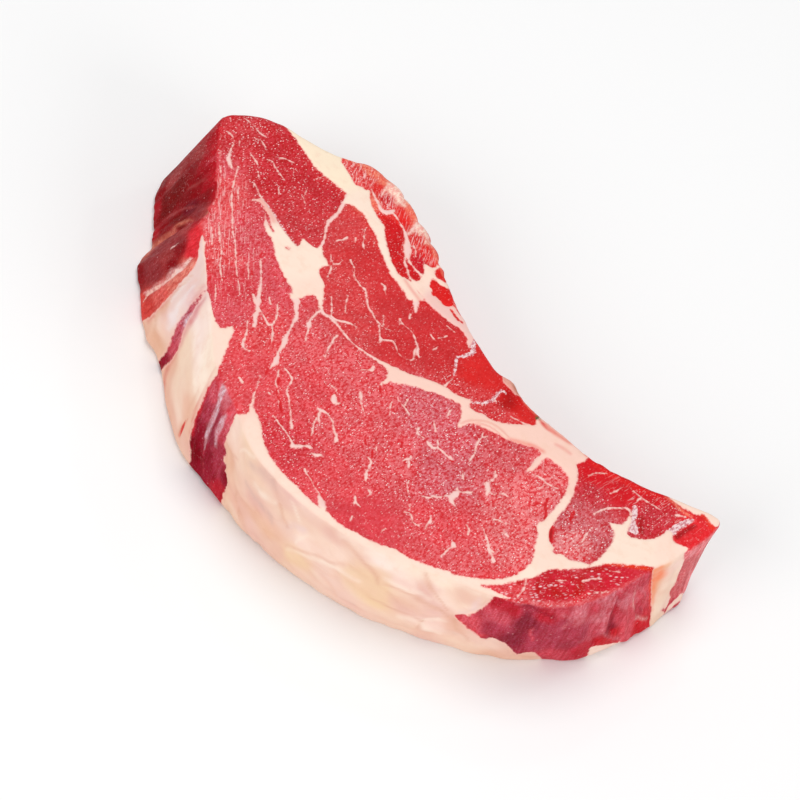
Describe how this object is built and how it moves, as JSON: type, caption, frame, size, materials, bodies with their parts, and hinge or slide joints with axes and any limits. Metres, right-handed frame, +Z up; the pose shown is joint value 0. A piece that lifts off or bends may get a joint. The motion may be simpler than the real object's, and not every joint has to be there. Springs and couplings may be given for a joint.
{
  "type": "raw ribeye steak",
  "caption": "Raw, thick-cut boneless rib-eye steak with a marbled red eye, creamy fat seams, a convex fat cap and a concave back edge, lying flat on its cut face.",
  "frame": {"origin": "centre of the footprint's box, on the surface that the steak lies on", "axes": "+X along the steak towards the thin tail, +Y towards the concave back edge, +Z up through the thickness"},
  "size_m": [0.2602, 0.1424, 0.0392],
  "materials": {
    "meat": "moist, soft sheen, red lean with cream fat"
  },
  "bodies": {
    "root": {"steak": "meat"}
  },
  "joints": []
}
